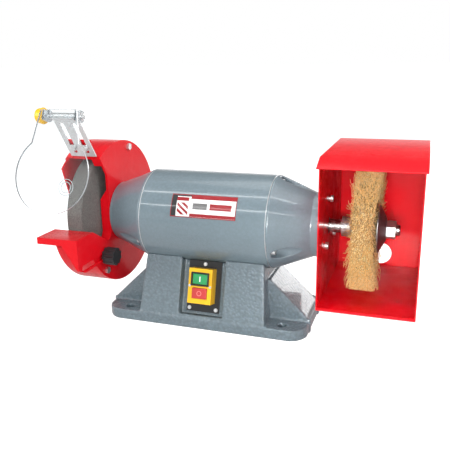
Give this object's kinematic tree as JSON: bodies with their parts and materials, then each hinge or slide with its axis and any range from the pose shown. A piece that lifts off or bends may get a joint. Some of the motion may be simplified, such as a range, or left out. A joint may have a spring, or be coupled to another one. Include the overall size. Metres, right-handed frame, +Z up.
{
  "type": "bench grinder",
  "caption": "Double-ended bench grinder with a guarded grinding wheel, eye shield and tool rest at one end and a wire brush in an open-fronted box at the other.",
  "frame": {"origin": "middle of the rectangle of foundation bolt holes, on the underside of the base", "axes": "+X along the motor shaft from the grinding wheel to the wire brush, +Y from the front to the back, +Z up from the bench"},
  "size_m": [0.567, 0.2904, 0.3406],
  "materials": {
    "cast_paint": "hammered blue-grey casting paint",
    "red_paint": "glossy red powder coat on sheet steel",
    "zinc": "bright zinc plate",
    "shaft_steel": "ground steel with threaded ends",
    "bearing_steel": "polished bearing steel",
    "dark_steel": "dark pressed steel",
    "core_steel": "stacked electrical sheet",
    "rotor_aluminium": "die-cast",
    "copper": "varnished copper wire",
    "cage_brass": "pressed brass cage and steel balls",
    "brass_wire": "crimped brass-coated wire",
    "abrasive": "grey aluminium oxide grain",
    "blotter_card": "plain card",
    "bush_plastic": "ivory moulding",
    "black_plastic": "fine-grained moulding",
    "yellow_plastic": "moulded",
    "green_plastic": "moulded",
    "red_plastic": "moulded",
    "white_plastic": "printed or inlaid white",
    "seal_rubber": "soft",
    "clear_sheet": "clear polycarbonate sheet"
  },
  "bodies": {
    "frame": {"base_casting": "cast_paint", "bottom_cover": "dark_steel", "bottom_cover_screws": "zinc", "motor_mount_screws": "dark_steel", "switch_plate": "black_plastic", "switch_plate_screws": "zinc", "switch_housing": "yellow_plastic", "switch_housing_screws": "zinc", "switch_collar": "black_plastic", "switch_body": "black_plastic", "terminal_block": "bush_plastic", "cable_gland": "black_plastic", "gland_nut": "black_plastic", "gland_seal": "seal_rubber", "motor_shell": "cast_paint", "name_plate": "white_plastic", "stator_core": "core_steel", "stator_windings": "copper", "end_bell_left": "cast_paint", "end_bell_right": "cast_paint", "bell_screws_left": "zinc", "bell_screws_right": "zinc", "bearing_outer_left": "bearing_steel", "bearing_outer_right": "bearing_steel", "guard_back": "red_paint", "guard_cover": "red_paint", "guard_cover_bolts": "zinc", "guard_mount_screws": "zinc", "spark_guard_screws": "zinc", "brush_box": "red_paint", "brush_box_roof": "red_paint", "brush_box_bolts": "zinc"},
    "rotor": {"shaft": "shaft_steel", "rotor_core": "core_steel", "rotor_end_rings": "rotor_aluminium", "bearing_inner_left": "bearing_steel", "bearing_inner_right": "bearing_steel", "wheel_inner_flange": "dark_steel", "grinding_wheel": "abrasive", "wheel_bush": "bush_plastic", "wheel_blotters": "blotter_card", "wheel_outer_flange": "dark_steel", "wheel_nut": "zinc", "brush_inner_flange": "dark_steel", "wire_brush": "brass_wire", "brush_outer_flange": "dark_steel", "brush_nut": "zinc"},
    "ball_cage_left": {"ball_cage_left": "cage_brass"},
    "ball_cage_right": {"ball_cage_right": "cage_brass"},
    "start_button": {"start_button": "green_plastic", "start_symbol": "white_plastic"},
    "stop_button": {"stop_button": "red_plastic", "stop_symbol": "white_plastic"},
    "spark_guard": {"spark_guard": "zinc"},
    "eye_shield": {"eye_shield": "clear_sheet", "shield_rod": "zinc", "shield_nut": "zinc"},
    "shield_knob": {"shield_knob": "yellow_plastic"},
    "tool_rest": {"tool_rest": "red_paint"},
    "tool_rest_knob": {"tool_rest_knob": "black_plastic"}
  },
  "joints": [
    {"name": "rotor_spin", "type": "hinge", "parent": "frame", "child": "rotor", "pos_m": [0, 0, 0.162], "axis": [1, 0, 0], "continuous": true},
    {"name": "ball_cage_left_spin", "type": "hinge", "parent": "frame", "child": "ball_cage_left", "pos_m": [0, 0, 0.162], "axis": [1, 0, 0], "continuous": true},
    {"name": "ball_cage_right_spin", "type": "hinge", "parent": "frame", "child": "ball_cage_right", "pos_m": [0, 0, 0.162], "axis": [1, 0, 0], "continuous": true},
    {"name": "start_press", "type": "slide", "parent": "frame", "child": "start_button", "axis": [0, 0.9619, -0.2734], "range_m": [0, 0.0035], "stiffness_N_per_m": 400, "springref_m": -0.002},
    {"name": "stop_press", "type": "slide", "parent": "frame", "child": "stop_button", "axis": [0, 0.9619, -0.2734], "range_m": [0, 0.0035], "stiffness_N_per_m": 400, "springref_m": -0.002},
    {"name": "spark_guard_slide", "type": "slide", "parent": "frame", "child": "spark_guard", "axis": [0, -0.5446, 0.8387], "range_m": [-0.004, 0.008]},
    {"name": "eye_shield_tilt", "type": "hinge", "parent": "spark_guard", "child": "eye_shield", "pos_m": [-0.187, -0.10784, 0.32806], "axis": [-1, 0, 0], "range_deg": [-8, 75]},
    {"name": "shield_knob_turn", "type": "hinge", "parent": "eye_shield", "child": "shield_knob", "pos_m": [-0.187, -0.10784, 0.32806], "axis": [1, 0, 0], "range_deg": [0, 360]},
    {"name": "tool_rest_slide", "type": "slide", "parent": "frame", "child": "tool_rest", "axis": [0, 1, 0], "range_m": [-0.02, 0.002]},
    {"name": "tool_rest_knob_turn", "type": "hinge", "parent": "frame", "child": "tool_rest_knob", "pos_m": [-0.15, -0.074, 0.106], "axis": [1, 0, 0], "range_deg": [0, 360]}
  ],
  "couplings": [
    {"joint": "ball_cage_left_spin", "follows": "rotor_spin", "ratio": 0.394},
    {"joint": "ball_cage_right_spin", "follows": "rotor_spin", "ratio": 0.394}
  ]
}
